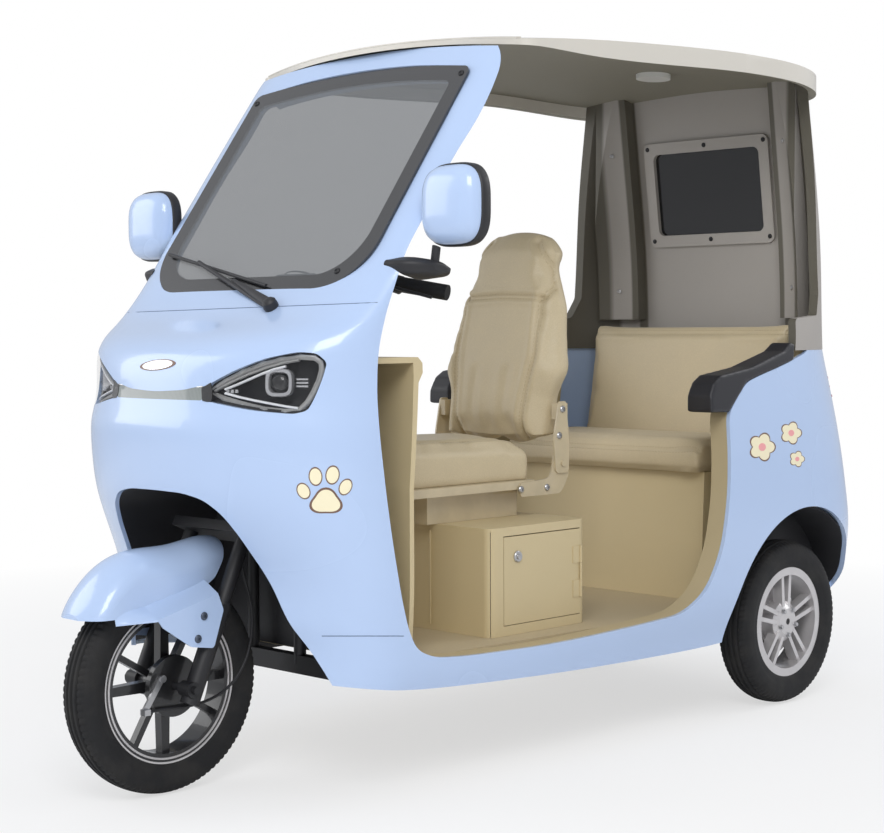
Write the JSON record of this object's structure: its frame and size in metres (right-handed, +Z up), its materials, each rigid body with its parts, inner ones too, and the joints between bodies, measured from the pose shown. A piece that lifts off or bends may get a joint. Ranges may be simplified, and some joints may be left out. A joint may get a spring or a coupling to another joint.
{
  "type": "electric auto rickshaw",
  "caption": "Small electric three-wheeled passenger rickshaw with an open-sided cabin, one driver seat, a rear bench, a raked windscreen and a hard roof.",
  "frame": {"origin": "on the ground under the middle of the vehicle's bounding box", "axes": "front faces -Y, the vehicle's left is +X, +Z is up"},
  "size_m": [1.185, 2.2341, 1.6599],
  "materials": {
    "body_paint": "light blue painted plastic",
    "beige_trim": "satin beige moulding",
    "beige_roof": "pale beige moulding",
    "grey_shell": "warm grey moulding",
    "window_light": "light grey frame",
    "dark_glass": "tinted glass",
    "clear_glass": "clear glass",
    "black_border": "black enamel band",
    "black_plastic": "black grained plastic",
    "lamp_lens": "smoked clear lamp lens",
    "bar_lens": "frosted light bar",
    "tail_lens": "red lamp lens",
    "tyre_rubber": "black rubber",
    "black_alloy": "black painted alloy",
    "silver_alloy": "silver painted alloy",
    "black_steel": "black powder coat",
    "bare_steel": "zinc plated steel",
    "seat_vinyl": "cream stitched vinyl",
    "battery_case": "battery case",
    "mirror_face": "mirror glass",
    "grip_rubber": "black rubber grip",
    "lamp_white": "frosted lamp cover"
  },
  "bodies": {
    "vehicle": {"front_cowl": "body_paint", "headlamps": "lamp_lens", "light_bar": "bar_lens", "tail_lamps": "tail_lens", "roof_canopy": "beige_roof", "roof_front_strip": "beige_roof", "windscreen_frame": "body_paint", "windscreen_border": "black_border", "windscreen_glass": "clear_glass", "rear_shell": "grey_shell", "rear_window_frame": "window_light", "rear_window_glass": "dark_glass", "side_panel_left": "body_paint", "side_panel_right": "body_paint", "tail_panel": "body_paint", "side_lining_left": "beige_trim", "side_lining_right": "beige_trim", "front_wheelhouse": "black_plastic", "rear_wheelhouses": "black_plastic", "inner_dash": "beige_trim", "floor_pan": "beige_trim", "rear_axle": "black_steel", "rear_springs": "black_steel", "lamp_housings": "black_plastic", "seat_pedestal": "beige_trim", "battery_pack": "battery_case", "seat_cushion": "seat_vinyl", "seat_frame": "bare_steel", "bench_base": "beige_trim", "bench_cushion": "seat_vinyl", "bench_backrest": "seat_vinyl", "armrests": "black_plastic", "chassis_frame": "black_steel", "mirror_shells": "body_paint", "mirror_glasses": "mirror_face", "mirror_arms": "black_plastic", "wiper": "black_plastic", "dome_light": "lamp_white"},
    "front_wheel": {"front_tyre": "tyre_rubber", "front_rim": "black_alloy"},
    "rear_wheel_left": {"rear_tyre_left": "tyre_rubber", "rear_rim_left": "silver_alloy"},
    "rear_wheel_right": {"rear_tyre_right": "tyre_rubber", "rear_rim_right": "silver_alloy"},
    "steering": {"front_fork": "black_steel", "handlebar": "black_steel", "grips": "grip_rubber", "instrument_cluster": "black_plastic", "front_fender": "body_paint", "brake_plate": "black_alloy", "brake_lever": "bare_steel", "brake_cable": "black_plastic"},
    "seat_back_body": {"seat_back": "seat_vinyl", "recliner_arms": "bare_steel"},
    "store_door_body": {"store_door": "beige_trim"}
  },
  "joints": [
    {"name": "steering_turn", "type": "hinge", "parent": "vehicle", "child": "steering", "pos_m": [0, -0.86159, 0.2158], "axis": [0, 0.4067, 0.9135], "range_deg": [-32, 32]},
    {"name": "front_wheel_spin", "type": "hinge", "parent": "steering", "child": "front_wheel", "pos_m": [0, -0.889, 0.228], "axis": [1, 0, 0], "continuous": true},
    {"name": "rear_left_wheel_spin", "type": "hinge", "parent": "vehicle", "child": "rear_wheel_left", "pos_m": [0.39, 0.771, 0.209], "axis": [1, 0, 0], "continuous": true},
    {"name": "rear_right_wheel_spin", "type": "hinge", "parent": "vehicle", "child": "rear_wheel_right", "pos_m": [-0.39, 0.771, 0.209], "axis": [1, 0, 0], "continuous": true},
    {"name": "seat_recline", "type": "hinge", "parent": "vehicle", "child": "seat_back_body", "pos_m": [0, 0.148, 0.64], "axis": [1, 0, 0], "range_deg": [-35, 8]},
    {"name": "store_door_hinge", "type": "hinge", "parent": "vehicle", "child": "store_door_body", "pos_m": [0.3233, 0.07315, 0.4], "axis": [0, 0, 1], "range_deg": [0, 110]}
  ]
}
